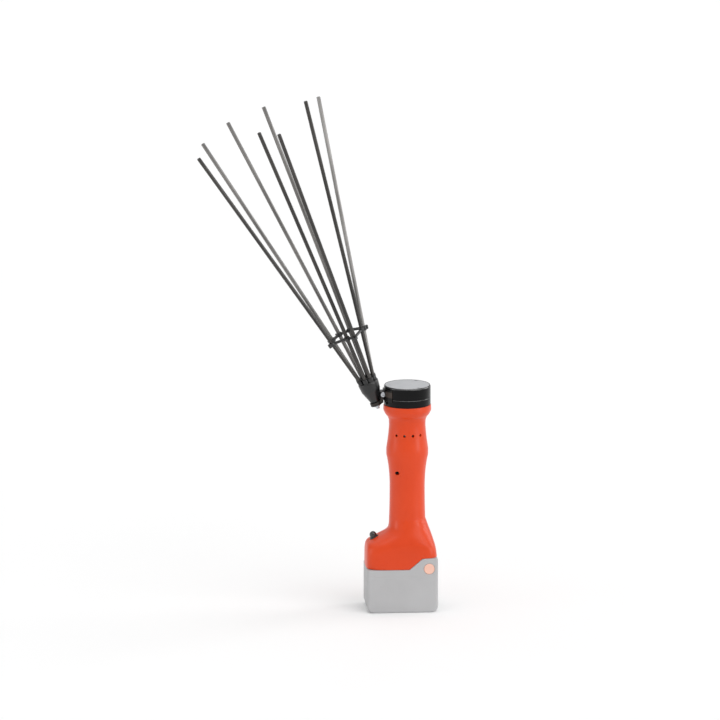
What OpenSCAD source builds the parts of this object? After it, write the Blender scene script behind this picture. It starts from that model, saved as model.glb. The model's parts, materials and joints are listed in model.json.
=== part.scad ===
// Cordless olive harvester: a gripped motor housing on a slide-on battery, an epicyclic
// gear head on top and a leaning bundle of eight slender rods that swings from side to side.
// Millimetres. The origin is on the motor axis, in the plane the battery stands on.

/* [Rods] */
// Length of one rod
rod_len = 450; // [300:10:520]
// Radius of one rod
rod_r = 2.9; // [2.4:0.1:2.9]
// Distance of the rod spacer from the inner ends of the rods
spacer_d = 88; // [60:2:140]

/* [Housing] */
// Wall of the moulded housing
wall = 2.6; // [2.2:0.1:3]
// Diameter of one vent hole
vent_d = 4; // [2.5:0.5:5]

/* [Head] */
// Thickness of the round lid
lid_t = 3.3; // [2.4:0.1:3.3]
// Play of the gear teeth on the pitch circle
play = 0.16; // [0.12:0.02:0.3]

/* [Controls] */
// Radius of the push button
button_r = 5.25; // [4.5:0.05:5.25]

/* [Battery] */
// Diameter of one cell
cell_d = 18.3; // [17.5:0.1:18.3]

/* [Hidden] */
$fn = 64;

// housing outline: height against the reach to the left, to the right, to front and rear
XL = [[66, 63.5], [80, 63.5], [90, 63.3], [97, 62.6], [101.5, 61], [104.5, 58], [107, 54],
  [109.5, 49.5], [112, 45], [114.5, 40.5], [117, 36], [120, 32.2], [124, 29.2], [128, 28],
  [134, 27.4], [140, 27.2]];
XR = [[66, 44], [80, 43.8], [90, 42.9], [97, 41.7], [101.5, 40.6], [104.5, 39.6], [107, 38.8],
  [109.5, 38], [112, 37.2], [114.5, 36.3], [117, 35.4], [120, 34.2], [124, 32.7], [128, 31.2],
  [134, 29.2], [140, 27.2]];
YD = [[66, 37], [80, 37], [90, 36.9], [97, 36.5], [101.5, 36], [104.5, 35.5], [107, 35],
  [109.5, 34.4], [112, 33.8], [114.5, 33.1], [117, 32.4], [120, 31.5], [124, 30.4], [128, 29.4],
  [134, 28.2], [140, 27.2]];
EX = [[66, 5], [90, 5], [97, 4.6], [101.5, 4.2], [107, 3.5], [112, 3], [117, 2.6], [124, 2.25],
  [134, 2.05], [140, 2]];
// grip and collar, a turned outline: height against radius
GRIP = [[139.8, 27.2], [150, 26.9], [170, 26.5], [190, 26.4], [203, 26.8], [218, 28.1],
  [225, 29.1], [232, 30.3], [239, 31.5], [245, 31.5], [252, 30.7], [264, 29], [274, 28],
  [282, 27.4], [289, 27.6], [295, 29.4], [301, 33.8], [307, 36], [314, 35.6]];
foot_z = [66.3, 80, 90, 97, 101.5, 104.5, 107, 109.5, 112, 114.5, 117, 120, 124, 128, 134, 140];
room_z = [79.6, 88, 95, 99, 102, 104.5, 107, 109.5, 112, 114.5, 118, 122, 126, 132];
// screws that clamp the two halves: across, up, side the head is on
clamp = [[-16.7, 212, -1], [16.7, 212, 1], [24, 93, 1], [-26, 88, 1]];
case_turn = [25, 115, 245, 335];
case_r = 31.3;

// the arm as it stands: swing of the lever, turn of the crank that goes with it
crank_e = 4;
pivot_x = -26;
eye_x = -38;
eye_z = 331;
// the release buttons in the raised end of the battery
release_x = 30.4;
release_z = 67.1;
planet_r = 15;
swing = 6;
crank_turn = 48.9;
// start and lean of the rod bundle, then each rod's seat around it, the way it spreads and how far
apex = [-41.5, 0, 301.8];
lean = 21;
seat_d = 44;
seat_r = 9.2;
fan = [[-157.5, -165, 14.4], [-112.5, -107, 8], [-67.5, -91, 12], [-22.5, 0, 7.4], [22.5, 0, 10.1],
  [67.5, 82, 6.5], [112.5, 127, 9.3], [157.5, 169, 11.7]];

// push button: where its axis leaves the shoulder, and its tilt to the left
button_at = [-49.5, 0, 108.6];
button_tilt = 23;

function rounded(x0, x1, y0, y1, r) = [for (c = [[x1 - r, y1 - r, 0], [x0 + r, y1 - r, 90],
  [x0 + r, y0 + r, 180], [x1 - r, y0 + r, 270]]) for (a = [0:15:90])
  [c[0] + r * cos(c[2] + a), c[1] + r * sin(c[2] + a)]];
function sgn(v) = v < 0 ? -1 : 1;
function bow(v, n) = abs(v) < 0.0001 ? 0 : sgn(v) * pow(abs(v), 2 / n);
function ring_at(z, inset, drop, turns) = let (q = z + drop, n = lookup(q, EX),
  l = lookup(q, XL) - inset, r = lookup(q, XR) - inset, d = lookup(q, YD) - inset)
  [for (a = turns) let (c = bow(cos(a), n)) [c < 0 ? c * l : c * r, d * bow(sin(a), n), z]];

module half_loft(zs, s) {
  k = 21;
  m = len(zs);
  pts = [for (z = zs) each ring_at(z, 0, 0, [for (i = [0:20]) s * 9 * i])];
  skin = [for (j = [0:m - 2]) for (i = [0:k - 2]) each
    [[j * k + i, j * k + k + i, j * k + i + 1], [j * k + i + 1, j * k + k + i, j * k + k + i + 1]]];
  flat = [for (j = [0:m - 2]) [j * k, j * k + k - 1, j * k + 2 * k - 1, j * k + k]];
  low = [for (i = [0:k - 1]) i];
  high = [for (i = [k - 1:-1:0]) (m - 1) * k + i];
  all = concat(skin, flat, [low, high]);
  polyhedron(points = pts, faces = s > 0 ? all : [for (f = all) [for (i = [len(f) - 1:-1:0]) f[i]]], convexity = 6);
}
module full_loft(zs, inset, drop) {
  k = 40;
  m = len(zs);
  pts = [for (z = zs) each ring_at(z, inset, drop, [for (i = [0:39]) 9 * i])];
  skin = [for (j = [0:m - 2]) for (i = [0:k - 1]) let (g = (i + 1) % k) each
    [[j * k + i, j * k + k + i, j * k + g], [j * k + g, j * k + k + i, j * k + k + g]]];
  polyhedron(points = pts, faces = concat(skin, [[for (i = [0:k - 1]) i]],
    [[for (i = [k - 1:-1:0]) (m - 1) * k + i]]), convexity = 6);
}

module seg(a, b, r) {
  v = b - a;
  h = norm(v);
  translate(a) rotate([0, acos(v[2] / h), atan2(v[1], v[0])]) cylinder(r = r, h = h);
}
module wire(p, r) {
  for (i = [0:len(p) - 2]) seg(p[i], p[i + 1], r);
  for (i = [1:len(p) - 2]) translate(p[i]) sphere(r * 1.06);
}
module coil(r, w, h, turns) {
  k = 10;
  n = turns * k;
  m = 6;
  pts = [for (i = [0:n]) for (j = [0:m - 1]) let (a = 360 * i / k, b = 360 * j / m)
    [(r + w * cos(b)) * cos(a), (r + w * cos(b)) * sin(a), w + (h - 2 * w) * i / n + w * sin(b)]];
  skin = [for (i = [0:n - 1]) for (j = [0:m - 1]) let (g = (j + 1) % m) each
    [[i * m + j, i * m + g, i * m + m + j], [i * m + g, i * m + m + g, i * m + m + j]]];
  polyhedron(points = pts, faces = concat(skin, [[for (j = [m - 1:-1:0]) j]],
    [[for (j = [0:m - 1]) n * m + j]]), convexity = 12);
}
module along_y(x, z, y0, y1, r) translate([x, y0, z]) rotate([-90, 0, 0]) cylinder(r = r, h = y1 - y0);
module slab_y(y0, y1, p) translate([0, y1, 0]) rotate([90, 0, 0]) linear_extrude(y1 - y0) polygon(p);
module box(a, b) translate(a) cube(b - a);
module swung() translate([pivot_x, 0, 0]) rotate([0, 0, swing]) translate([-pivot_x, 0, 0]) children();
module in_bundle(d = 0) swung() translate(apex) rotate([0, -lean, 0]) translate([0, 0, d]) children();
module on_rod(i, d = 0) in_bundle(seat_d) translate([seat_r * cos(fan[i][0]), seat_r * sin(fan[i][0]), 0])
  rotate([0, 0, fan[i][1]]) rotate([0, fan[i][2], 0]) translate([0, 0, d]) children();
module on_button(d = 0) translate(button_at) rotate([0, -button_tilt, 0]) translate([0, 0, d]) children();
module tube(r1, r0, h) difference() { cylinder(r = r1, h = h); translate([0, 0, -1]) cylinder(r = r0, h = h + 2); }

// involute teeth, module one
function inv(a) = tan(a) * 180 / PI - a;
function half_deg(r, rp, s) = s / (2 * rp) * 180 / PI + inv(20) - inv(acos(min(1, rp * cos(20) / r)));
function flank(z, rr, rt, s) = let (rp = z / 2, rb = rp * cos(20), r0 = max(rr, rb), rm = (r0 + rt) / 2)
  concat(rr < rb ? [[rr, half_deg(r0, rp, s)]] : [], [for (r = [r0, rm, rt]) [r, half_deg(r, rp, s)]]);
function gear_pts(z, rr, rt, s) = let (f = flank(z, rr, rt, s), k = len(f))
  [for (i = [0:z - 1]) each concat(
    [for (j = [0:k - 1]) let (w = 360 * i / z - f[j][1]) [f[j][0] * cos(w), f[j][0] * sin(w)]],
    [for (j = [k - 1:-1:0]) let (w = 360 * i / z + f[j][1]) [f[j][0] * cos(w), f[j][0] * sin(w)]])];

// ---- housing ----
module housing_room() union() {
  difference() {
    full_loft(room_z, wall, 2.4);
    slab_y(-50, 50, [[-1, 60], [-1, 70], [18.2, 86.1], [60, 86.1], [60, 60]]);
  }
  rotate_extrude() polygon(concat([[0, 128], [24, 128]],
    [for (p = GRIP) if (p[0] > 131 && p[0] < 290) [p[1] - wall, p[0]]],
    [[24.9, 300], [26.8, 300], [26.8, 315], [0, 315]]));
}
module housing_half(s) {
  difference() {
    union() {
      difference() {
        union() {
          half_loft(foot_z, s);
          rotate([0, 0, s > 0 ? 0 : 180]) rotate_extrude(angle = 180)
            polygon(concat([[0, 139.8]], [for (p = GRIP) [p[1], p[0]]], [[0, 314]]));
        }
        housing_room();
      }
      intersection() {
        for (c = clamp) if (c[1] > 150) along_y(c[0], c[1], min(0, s * 40), max(0, s * 40), 4.6);
        translate([0, 0, 200]) cylinder(r = 26.2, h = 24);
      }
      for (c = clamp) if (c[1] < 150) along_y(c[0], c[1], min(0, s * 34.9), max(0, s * 34.9), 4.6);
    }
    slab_y(-50, 50, [[0.2, 60], [0.2, 66.3], [20.3, 83.3], [60, 83.3], [60, 60]]);
    box([-54, -25, 60], [20, 25, 71]);
    box([-54, -30.5, 70.3], [20, 30.5, 77]);
    box([-60.5, -14.1, 60], [-53, 14.1, 77]);
    for (y = [-8, 8]) translate([-52, y, 76]) cylinder(r = 2, h = 5);
    for (t = [-40, -40 / 3, 40 / 3, 40]) rotate([0, 0, t + (s > 0 ? 90 : 270)]) translate([20, 0, 270])
      rotate([0, 90, 0]) cylinder(d = vent_d, h = 16);
    for (t = case_turn) rotate([0, 0, t]) translate([case_r, 0, 302]) cylinder(r = 2.02, h = 13);
    on_button(-12) cylinder(r = 7, h = 24);
    for (c = clamp) {
      if (c[2] == s) {
        along_y(c[0], c[1], min(s * 12, s * 45), max(s * 12, s * 45), 3);
        along_y(c[0], c[1], min(-s, s * 13), max(-s, s * 13), 1.75);
      } else along_y(c[0], c[1], min(-s, s * 11), max(-s, s * 11), 1.51);
    }
  }
}
module housing_front() color([0.86, 0.29, 0.14]) housing_half(-1);
module housing_rear() color([0.86, 0.29, 0.14]) housing_half(1);
module housing_screws() color([0.55, 0.56, 0.58]) for (c = clamp) {
  s = c[2];
  difference() {
    union() {
      along_y(c[0], c[1], min(s * 12, s * 14), max(s * 12, s * 14), 2.8);
      along_y(c[0], c[1], min(-s * 10, s * 12.5), max(-s * 10, s * 12.5), 1.5);
    }
    translate([c[0], s * 13.6, c[1]]) { cube([3.6, 1.8, 0.8], center = true); cube([0.8, 1.8, 3.6], center = true); }
  }
}

// ---- motor ----
module motor_can() color([0.62, 0.63, 0.66]) difference() {
  translate([0, 0, 248]) cylinder(r = 21, h = 65.9);
  translate([0, 0, 247]) cylinder(r = 19, h = 63.9);
  translate([0, 0, 300]) cylinder(r = 2.55, h = 20);
  for (t = [45, 225]) rotate([0, 0, t]) translate([12.5, 0, 309]) cylinder(r = 1.51, h = 6);
}
module motor_end_bell() color([0.13, 0.13, 0.14]) difference() {
  union() {
    translate([0, 0, 240]) cylinder(r = 21, h = 8);
    translate([0, 0, 247]) cylinder(r = 18.9, h = 3);
    for (s = [-1, 1]) box([min(s * 7, s * 16), -5, 249], [max(s * 7, s * 16), 5, 260]);
    for (x = [-8, 8]) translate([x, 8, 236]) cylinder(r = 2.4, h = 5);
  }
  translate([0, 0, 239]) cylinder(r = 2.55, h = 12);
  translate([0, 0, 249.4]) cylinder(r = 7, h = 3);
  for (s = [-1, 1]) box([min(s * 6, s * 14.5), -2.6, 251.4], [max(s * 6, s * 14.5), 2.6, 257.6]);
  for (x = [-8, 8]) translate([x, 8, 235]) cylinder(r = 1.25, h = 4);
}
module motor_magnets() color([0.22, 0.22, 0.24]) for (t = [0, 180]) rotate([0, 0, t + 25])
  rotate_extrude(angle = 130) translate([15.4, 262]) square([3.5, 40]);
module motor_brushes() color([0.2, 0.19, 0.19]) for (s = [-1, 1])
  box([min(s * 6.3, s * 13.5), -2.4, 251.7], [max(s * 6.3, s * 13.5), 2.4, 257.3]);
module rotor_shaft() color([0.75, 0.76, 0.78]) union() {
  translate([0, 0, 241]) cylinder(r = 2.5, h = 84.6);
}
module armature_core() color([0.5, 0.5, 0.52]) difference() {
  translate([0, 0, 264]) cylinder(r = 14.8, h = 36);
  translate([0, 0, 263]) cylinder(r = 2.51, h = 38);
  for (t = [0:360 / 7:359]) rotate([0, 0, t]) {
    translate([10.4, 0, 263]) cylinder(r = 3, h = 38);
    box([10, -0.9, 263], [16, 0.9, 301]);
  }
}
module armature_windings() color([0.72, 0.38, 0.16]) union() {
  for (t = [0:360 / 7:359]) rotate([0, 0, t]) translate([10.4, 0, 261]) cylinder(r = 2.9, h = 42);
  for (z = [260.8, 300.1]) translate([0, 0, z]) tube(13.6, 7.2, 3.1);
}
module commutator() color([0.75, 0.46, 0.2]) difference() {
  translate([0, 0, 250.4]) cylinder(r = 6, h = 8.6);
  translate([0, 0, 250]) cylinder(r = 2.51, h = 10);
  for (t = [0:360 / 7:359]) rotate([0, 0, t]) box([4.6, -0.3, 250], [7, 0.3, 257.6]);
}
module sun_pinion() color([0.7, 0.7, 0.72]) difference() {
  translate([0, 0, 318.5]) linear_extrude(7) polygon(gear_pts(12, 4.9, 6.85, PI / 2 - play));
  translate([0, 0, 318]) cylinder(r = 2.51, h = 9);
}
module motor_screws() color([0.55, 0.56, 0.58]) for (t = [45, 225]) rotate([0, 0, t]) translate([12.5, 0, 0])
  difference() {
    union() {
      translate([0, 0, 316.1]) cylinder(r = 2.7, h = 1.8);
      translate([0, 0, 311.2]) cylinder(r = 1.5, h = 5);
    }
    translate([0, 0, 317.5]) { cube([3.4, 0.7, 1.2], center = true); cube([0.7, 3.4, 1.2], center = true); }
  }

// ---- gear head ----
module gearbox_base() color([0.09, 0.09, 0.1]) difference() {
  union() {
    rotate_extrude() polygon([[0, 314], [34.4, 314], [35.2, 314.8], [35.2, 325.6], [34.8, 326], [0, 326]]);
    translate([0, 0, 306]) cylinder(r = 26.6, h = 9);
  }
  translate([0, 0, 318]) cylinder(r = 28.7, h = 9);
  translate([0, 0, 305]) cylinder(r = 21.2, h = 8.95);
  translate([0, 0, 313]) cylinder(r = 6.2, h = 6);
  for (t = case_turn) rotate([0, 0, t]) translate([case_r, 0, 313]) cylinder(r = 2.1, h = 14);
  for (t = [45, 225]) rotate([0, 0, t]) translate([12.5, 0, 313]) {
    cylinder(r = 1.6, h = 6);
    translate([0, 0, 3]) cylinder(r = 2.9, h = 3);
  }
}
module ring_gear() color([0.6, 0.6, 0.62]) translate([0, 0, 318.1]) difference() {
  cylinder(r = 28.6, h = 7.8);
  translate([0, 0, -1]) linear_extrude(10) rotate(3.75) polygon(gear_pts(48, 23.15, 25.1, PI / 2 + play));
}
module planet(b) color([0.66, 0.66, 0.69]) rotate([0, 0, b]) translate([planet_r, 0, 318.6]) difference() {
  linear_extrude(6.9) rotate(10) polygon(gear_pts(18, 7.9, 9.85, PI / 2 - play));
  translate([0, 0, -1]) cylinder(r = 2.05, h = 9);
}
module planet_gear_1() planet(0);
module planet_gear_2() planet(120);
module planet_gear_3() planet(240);
module planet_carrier() color([0.58, 0.58, 0.61]) difference() {
  union() {
    translate([0, 0, 326.1]) cylinder(r = 20.42, h = 3.8);
    rotate([0, 0, crank_turn]) translate([crank_e, 0, 329]) cylinder(r = 2.5, h = 10.2);
  }
  for (b = [0, 120, 240]) rotate([0, 0, b]) translate([planet_r, 0, 325]) cylinder(r = 2.01, h = 4.2);
}
module planet_pins() color([0.75, 0.76, 0.78]) for (b = [0, 120, 240]) rotate([0, 0, b])
  translate([planet_r, 0, 318.4]) cylinder(r = 2, h = 10.7);
module crank_roller() color([0.7, 0.7, 0.72]) rotate([0, 0, crank_turn]) translate([crank_e, 0, 330.4]) tube(3.6, 2.55, 8.2);
module crank_case() color([0.09, 0.09, 0.1]) difference() {
  rotate_extrude() polygon([[0, 326], [34.8, 326], [35.2, 326.4], [35.2, 341.8], [34.5, 343.3], [33.9, 344], [0, 344]]);
  translate([0, 0, 340.4]) cylinder(r = 33.5, h = 4);
  translate([0, 0, 330.1]) cylinder(r = 27.5, h = 11);
  translate([0, 0, 325]) cylinder(r = 20.5, h = 6);
  box([-40, -12.3, 330.1], [-15, 12.3, 339.9]);
  box([-40, -12.3, 325.5], [-30.6, 12.3, 331]);
  translate([pivot_x, 0, 327]) cylinder(r = 2.81, h = 14);
  for (t = [-60, 60]) rotate([0, 0, t]) translate([30.5, 0, 333]) cylinder(r = 1.51, h = 9);
  for (t = case_turn) rotate([0, 0, t]) translate([case_r, 0, 325]) {
    cylinder(r = 2.1, h = 17);
    translate([0, 0, 11]) cylinder(r = 3.5, h = 6);
  }
}
module slot_plate() color([0.2, 0.13, 0.09]) difference() {
  rotate([0, 0, 134]) rotate_extrude(angle = 92) translate([35.25, 321.5]) square([0.95, 18.5]);
  box([-40, -12.6, 326], [-25, 12.6, 345]);
}
module head_lid() color([0.72, 0.72, 0.73]) difference() {
  rotate_extrude() polygon([[0, 340.5], [33.3, 340.5], [33.3, 340.1 + lid_t], [32.9, 340.5 + lid_t], [0, 340.5 + lid_t]]);
  for (p = [[pivot_x, 0], [30.5 * cos(60), 30.5 * sin(60)], [30.5 * cos(60), -30.5 * sin(60)]])
    translate([p[0], p[1], 340]) {
      cylinder(r = 1.6, h = 5);
      translate([0, 0, lid_t - 1.1]) cylinder(r1 = 1.55, r2 = 3.05, h = 1.6);
    }
}
module lid_screws() color([0.6, 0.61, 0.63])
  for (p = [[pivot_x, 0], [30.5 * cos(60), 30.5 * sin(60)], [30.5 * cos(60), -30.5 * sin(60)]])
    translate([p[0], p[1], 340 + lid_t]) difference() {
      union() {
        translate([0, 0, -1.1]) cylinder(r1 = 1.5, r2 = 2.95, h = 1.55);
        translate([0, 0, -9]) cylinder(r = 1.5, h = 8.5);
      }
      cube([2.6, 0.6, 1.2], center = true);
      cube([0.6, 2.6, 1.2], center = true);
    }
module case_screws() color([0.5, 0.51, 0.53]) for (t = case_turn) rotate([0, 0, t]) translate([case_r, 0, 0]) difference() {
  union() {
    translate([0, 0, 336.05]) cylinder(r = 3.3, h = 3.9);
    translate([0, 0, 303]) cylinder(r = 2, h = 34);
  }
  translate([0, 0, 338]) cylinder(r = 1.6, h = 3, $fn = 6);
}
module rocker_pivot() color([0.75, 0.76, 0.78]) translate([pivot_x, 0, 327.1]) difference() {
  cylinder(r = 2.8, h = 13.3);
  translate([0, 0, 6.5]) cylinder(r = 1.51, h = 8);
}
module rocker_lever() color([0.45, 0.45, 0.48]) swung() difference() {
  union() {
    translate([0, 0, 331]) linear_extrude(8) union() {
      translate([pivot_x, 0]) circle(r = 6);
      polygon([[-36.5, -4.5], [pivot_x, -4.5], [-22, -6.5], [-18.5, -15.5], [8, -15.5], [8, -12], [-13, -12],
        [-13, 12], [8, 12], [8, 15.5], [-18.5, 15.5], [-22, 6.5], [pivot_x, 4.5], [-36.5, 4.5]]);
    }
    box([-38, -4.5, 327.2], [-32, 4.5, 334.8]);
    along_y(eye_x, eye_z, -4.5, 4.5, 4.1);
  }
  translate([pivot_x, 0, 330]) cylinder(r = 2.85, h = 10);
  along_y(eye_x, eye_z, -6, 6, 2.55);
}

// ---- arm and rods ----
module arm_bracket() color([0.2, 0.13, 0.09]) difference() {
  union() {
    swung() for (y = [[-7.1, -4.6], [4.6, 7.1]]) {
      along_y(eye_x, eye_z, y[0], y[1], 3.9);
      slab_y(y[0], y[1], [[-41.7, 331], [-34.1, 331], [-34.4, 329.4], [-37.2, 326.8], [-37.2, 318.6],
        [-38.5, 317.7], [-44.3, 315.2], [-45, 318.3], [-42.5, 321.3], [-41.9, 325]]);
    }
    in_bundle(13) cylinder(r = 9, h = 5.4);
  }
  swung() along_y(eye_x, eye_z, -9, 9, 2.55);
  in_bundle(8.5) cylinder(r = 2.6, h = 20);
}
module arm_bolt() color([0.75, 0.76, 0.78]) swung() difference() {
  union() {
    along_y(eye_x, eye_z, -9.7, -7.15, 3.9);
    along_y(eye_x, eye_z, -8, 10.2, 2.5);
  }
  translate([eye_x, -9.9, eye_z]) rotate([-90, 0, 0]) cylinder(r = 2, h = 1.8, $fn = 6);
}
module nut() difference() {
  cylinder(r = 4.62, h = 2.7, $fn = 6);
  translate([0, 0, -1]) cylinder(r = 2.51, h = 5);
}
module arm_nuts() color([0.75, 0.76, 0.78]) {
  swung() translate([eye_x, 7.15, eye_z]) rotate([-90, 0, 0]) nut();
  in_bundle(10.25) nut();
}
module rod_holder() color([0.08, 0.08, 0.09]) difference() {
  union() {
    in_bundle() rotate_extrude() polygon([[0, 18.5], [6.9, 18.5], [7.5, 19.1], [14.4, 38], [15.7, 50], [14.9, 52], [0, 52]]);
    for (i = [0:7]) on_rod(i, 3) cylinder(r = 4.3, h = 13);
  }
  for (i = [0:7]) on_rod(i, -0.2) cylinder(r = 2.95, h = 20);
  swung() along_y(eye_x, eye_z, -6.5, 6.5, 4.6);
  in_bundle(17.5) cylinder(r = 2.6, h = 10);
  in_bundle(24.5) cylinder(r = 4.4, h = 41.5);
}
module holder_bolt() color([0.6, 0.61, 0.63]) in_bundle() difference() {
  union() {
    translate([0, 0, 24.55]) cylinder(r = 4.25, h = 5);
    translate([0, 0, 7]) cylinder(r = 2.5, h = 18);
  }
  translate([0, 0, 27]) cylinder(r = 2.3, h = 4, $fn = 6);
}
module rod(i) color([0.16, 0.16, 0.17]) on_rod(i) cylinder(r = rod_r, h = rod_len);
module rod_1() rod(0);
module rod_2() rod(1);
module rod_3() rod(2);
module rod_4() rod(3);
module rod_5() rod(4);
module rod_6() rod(5);
module rod_7() rod(6);
module rod_8() rod(7);
function on_fan(i, d) = [seat_r * cos(fan[i][0]) + d * sin(fan[i][2]) * cos(fan[i][1]),
  seat_r * sin(fan[i][0]) + d * sin(fan[i][2]) * sin(fan[i][1]), seat_d + d * cos(fan[i][2])];
module rod_spacer() color([0.07, 0.07, 0.08]) difference() {
  union() {
    for (i = [0:7]) on_rod(i, spacer_d - 3) {
      cylinder(r = 4.5, h = 6);
      translate([5, 0, 0]) cylinder(r = 2.4, h = 6);
    }
    for (i = [0:7]) in_bundle() seg(on_fan(i, spacer_d), on_fan((i + 1) % 8, spacer_d), 2.2);
  }
  for (i = [0:7]) on_rod(i, spacer_d - 8) {
    cylinder(r = 2.95, h = 16);
    translate([5.7, 0, 0]) cylinder(r = 0.9, h = 16);
  }
}

// ---- controls ----
module power_button() color([0.07, 0.07, 0.08]) on_button() union() {
  translate([0, 0, -5]) cylinder(r = button_r, h = 10.2);
  translate([0, 0, 5.2]) difference() { sphere(r = button_r); translate([-9, -9, -10]) cube([18, 18, 10]); }
  translate([0, 0, -11.5]) cylinder(r = 1.9, h = 7);
}
module button_bezel() color([0.07, 0.07, 0.08]) on_button(-6) tube(6.95, 5.33, 8.2);
module button_spring() color([0.7, 0.71, 0.73]) on_button(-11.9) coil(3.2, 0.45, 6.7, 4);
module switch_body() color([0.12, 0.12, 0.13]) on_button() difference() {
  translate([-7, -5.8, -23.5]) cube([14, 11.6, 11.4]);
  translate([0, 0, -16.6]) cylinder(r = 2.4, h = 6);
}
module control_board() color([0.1, 0.3, 0.16]) union() {
  box([-19, 5, 148], [19, 6.6, 204]);
  box([-16, -3, 152], [-5, 5.1, 168]);
  box([5, -3, 152], [16, 5.1, 168]);
  translate([-8, 5.1, 186]) rotate([90, 0, 0]) cylinder(r = 6, h = 14);
  box([4, 1, 180], [14, 5.1, 192]);
}
module terminal_block() color([0.12, 0.12, 0.13]) difference() {
  box([-60.4, -14, 67], [-50.8, 14, 76.9]);
  for (y = [-8, 8]) {
    box([-58, y - 0.42, 69.6], [-50, y + 0.42, 74.6]);
    translate([-52, y, 74.5]) cylinder(r = 1.3, h = 4);
  }
}
module terminal_blades() color([0.78, 0.6, 0.3]) for (y = [-8, 8]) box([-57.8, y - 0.4, 69.8], [-36, y + 0.4, 74.4]);
module inner_leads() {
  color([0.55, 0.06, 0.05]) wire([[-52, -8, 76], [-52, -8, 86], [-34, -8, 108], [-12, -8, 126], [-9, 6, 140], [-9, 5.8, 146.5]], 1.2);
  color([0.08, 0.08, 0.09]) wire([[-52, 8, 76], [-52, 8, 86], [-34, 8, 108], [9, 8, 126], [9, 6, 140], [9, 5.8, 146.5]], 1.2);
  color([0.55, 0.06, 0.05]) wire([[-8, 5.8, 205.4], [-8, 8, 220], [-8, 8, 237.6]], 1.2);
  color([0.08, 0.08, 0.09]) wire([[8, 5.8, 205.4], [8, 8, 220], [8, 8, 237.6]], 1.2);
}

// ---- battery ----
module pack_outline(z0, z1) intersection() {
  translate([0, 0, z0]) linear_extrude(z1 - z0) polygon(rounded(-63, 44, -37, 37, 4.5));
  slab_y(-40, 40, rounded(-63, 44, 0, 120, 10));
}
module corner_blocks(z0, z1) for (x = [[-61.5, -56.2], [37.2, 42.5]]) for (y = [[-35.5, -27], [27, 35.5]])
  box([x[0], y[0], z0], [x[1], y[1], z1]);
module pack_room(z0, z1) difference() {
  intersection() {
    translate([0, 0, z0]) linear_extrude(z1 - z0) polygon(rounded(-60.6, 41.6, -34.6, 34.6, 2.5));
    slab_y(-40, 40, rounded(-60.6, 41.6, 2.6, 120, 7.4));
  }
  corner_blocks(z0 - 1, z1 + 1);
}
pack_screw = [[-58.7, -30], [-58.7, 30], [39.7, -30], [39.7, 30]];
module battery_case() color([0.7, 0.7, 0.71]) difference() {
  pack_outline(0, 56);
  pack_room(2.6, 57);
  for (p = pack_screw) translate([p[0], p[1], -1]) {
    cylinder(r = 1.35, h = 58);
    cylinder(r = 2.4, h = 7.5);
  }
}
module battery_top() color([0.7, 0.7, 0.71]) difference() {
  union() {
    pack_outline(56, 66);
    intersection() {
      slab_y(-37, 37, [[0, 65], [0.5, 66], [20.6, 83], [44, 83], [44, 65]]);
      translate([0, 0, 60]) linear_extrude(30) polygon(rounded(-63, 44, -37, 37, 4.5));
      slab_y(-38, 38, rounded(-63, 44, 0, 83, 4));
    }
    box([-50, -24.6, 65], [17, 24.6, 71]);
    box([-50, -30, 70.7], [17, 30, 76.6]);
  }
  pack_room(55, 62.5);
  for (y = [-8, 8]) box([-51, y - 1.5, 61], [-33, y + 1.5, 75.6]);
  for (p = pack_screw) translate([p[0], p[1], 55]) cylinder(r = 1.21, h = 6.4);
  along_y(release_x, release_z, -38, -25, 8.18);
  along_y(release_x, release_z, 25, 38, 8.18);
}
module battery_cells() color([0.16, 0.4, 0.6]) for (i = [0:4]) for (z = [12.2, 31])
  along_y(-9.5 + (i - 2) * 18.6, z, -32.5, 32.5, cell_d / 2);
module battery_board() color([0.1, 0.3, 0.16]) box([-55.9, -31, 42.6], [36.9, 31, 44.2]);
module battery_contacts() color([0.78, 0.6, 0.3]) for (y = [-8, 8]) for (s = [-1, 1])
  box([-48.6, min(y + s * 0.9, y + s * 1.4), 44.25], [-34, max(y + s * 0.9, y + s * 1.4), 75]);
module battery_screws() color([0.55, 0.56, 0.58]) for (p = pack_screw) translate([p[0], p[1], 0]) difference() {
  union() {
    translate([0, 0, 4.6]) cylinder(r = 2.2, h = 1.85);
    translate([0, 0, 6]) cylinder(r = 1.2, h = 54.5);
  }
  translate([0, 0, 4.8]) { cube([2.6, 0.6, 1.2], center = true); cube([0.6, 2.6, 1.2], center = true); }
}
module release_button_front() mirror([0, 1, 0]) color([0.86, 0.7, 0.66]) union() {
  along_y(release_x, release_z, 31.2, 37, 8.1);
  along_y(release_x, release_z, 36.9, 37.6, 7.4);
}
module release_button_rear() color([0.86, 0.7, 0.66]) union() {
  along_y(release_x, release_z, 31.2, 37, 8.1);
  along_y(release_x, release_z, 36.9, 37.6, 7.4);
}
module release_springs() color([0.7, 0.71, 0.73]) {
  translate([release_x, 25.1, release_z]) rotate([-90, 0, 0]) coil(4, 0.5, 6, 3);
  translate([release_x, -25.1, release_z]) rotate([90, 0, 0]) coil(4, 0.5, 6, 3);
}

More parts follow.
